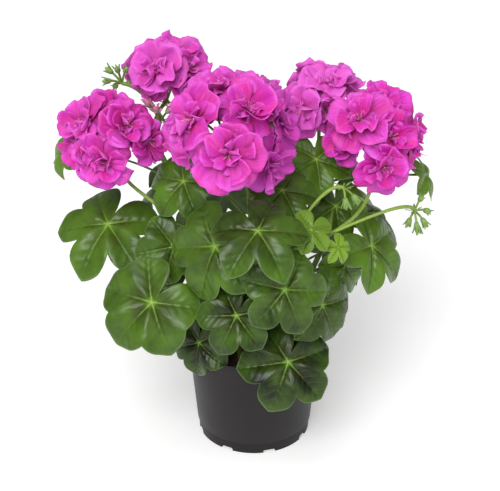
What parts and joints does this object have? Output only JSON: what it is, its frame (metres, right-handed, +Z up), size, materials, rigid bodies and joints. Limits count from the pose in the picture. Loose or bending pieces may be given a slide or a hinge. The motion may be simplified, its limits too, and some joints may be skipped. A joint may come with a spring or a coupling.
{
  "type": "potted ivy-leaved geranium",
  "caption": "Trailing ivy-leaved geranium with double magenta flower heads, lobed leaves and buds, growing from soil in a round nursery pot with drain openings.",
  "frame": {"origin": "centre of the pot's foot, on the plane that the pot stands on", "axes": "+Z up along the pot's axis, -Y towards the front of the plant, +X towards its right"},
  "size_m": [0.2933, 0.228, 0.3195],
  "materials": {
    "leaf_green": "Soft fleshy leaf and stem with a waxy sheen",
    "petal_magenta": "Thin matt petals with a faint velvet sheen",
    "pot_plastic": "Thin dark grey plastic, slightly satin",
    "potting_soil": "Damp crumbly peat of bark and plant fibre, matt"
  },
  "bodies": {
    "root": {"pot": "pot_plastic", "soil": "potting_soil", "leafy_stem_left": "leaf_green", "leafy_stem_front_left": "leaf_green", "leafy_stem_front_right": "leaf_green", "leafy_stem_right": "leaf_green", "leafy_stem_middle": "leaf_green", "leafy_stem_back_right": "leaf_green", "leafy_stem_back_left": "leaf_green", "leafy_stem_back": "leaf_green", "flower_head_left": "petal_magenta", "flower_head_top": "petal_magenta", "flower_head_front": "petal_magenta", "flower_head_right": "petal_magenta", "flower_head_middle": "petal_magenta", "flower_head_back": "petal_magenta"}
  },
  "joints": []
}
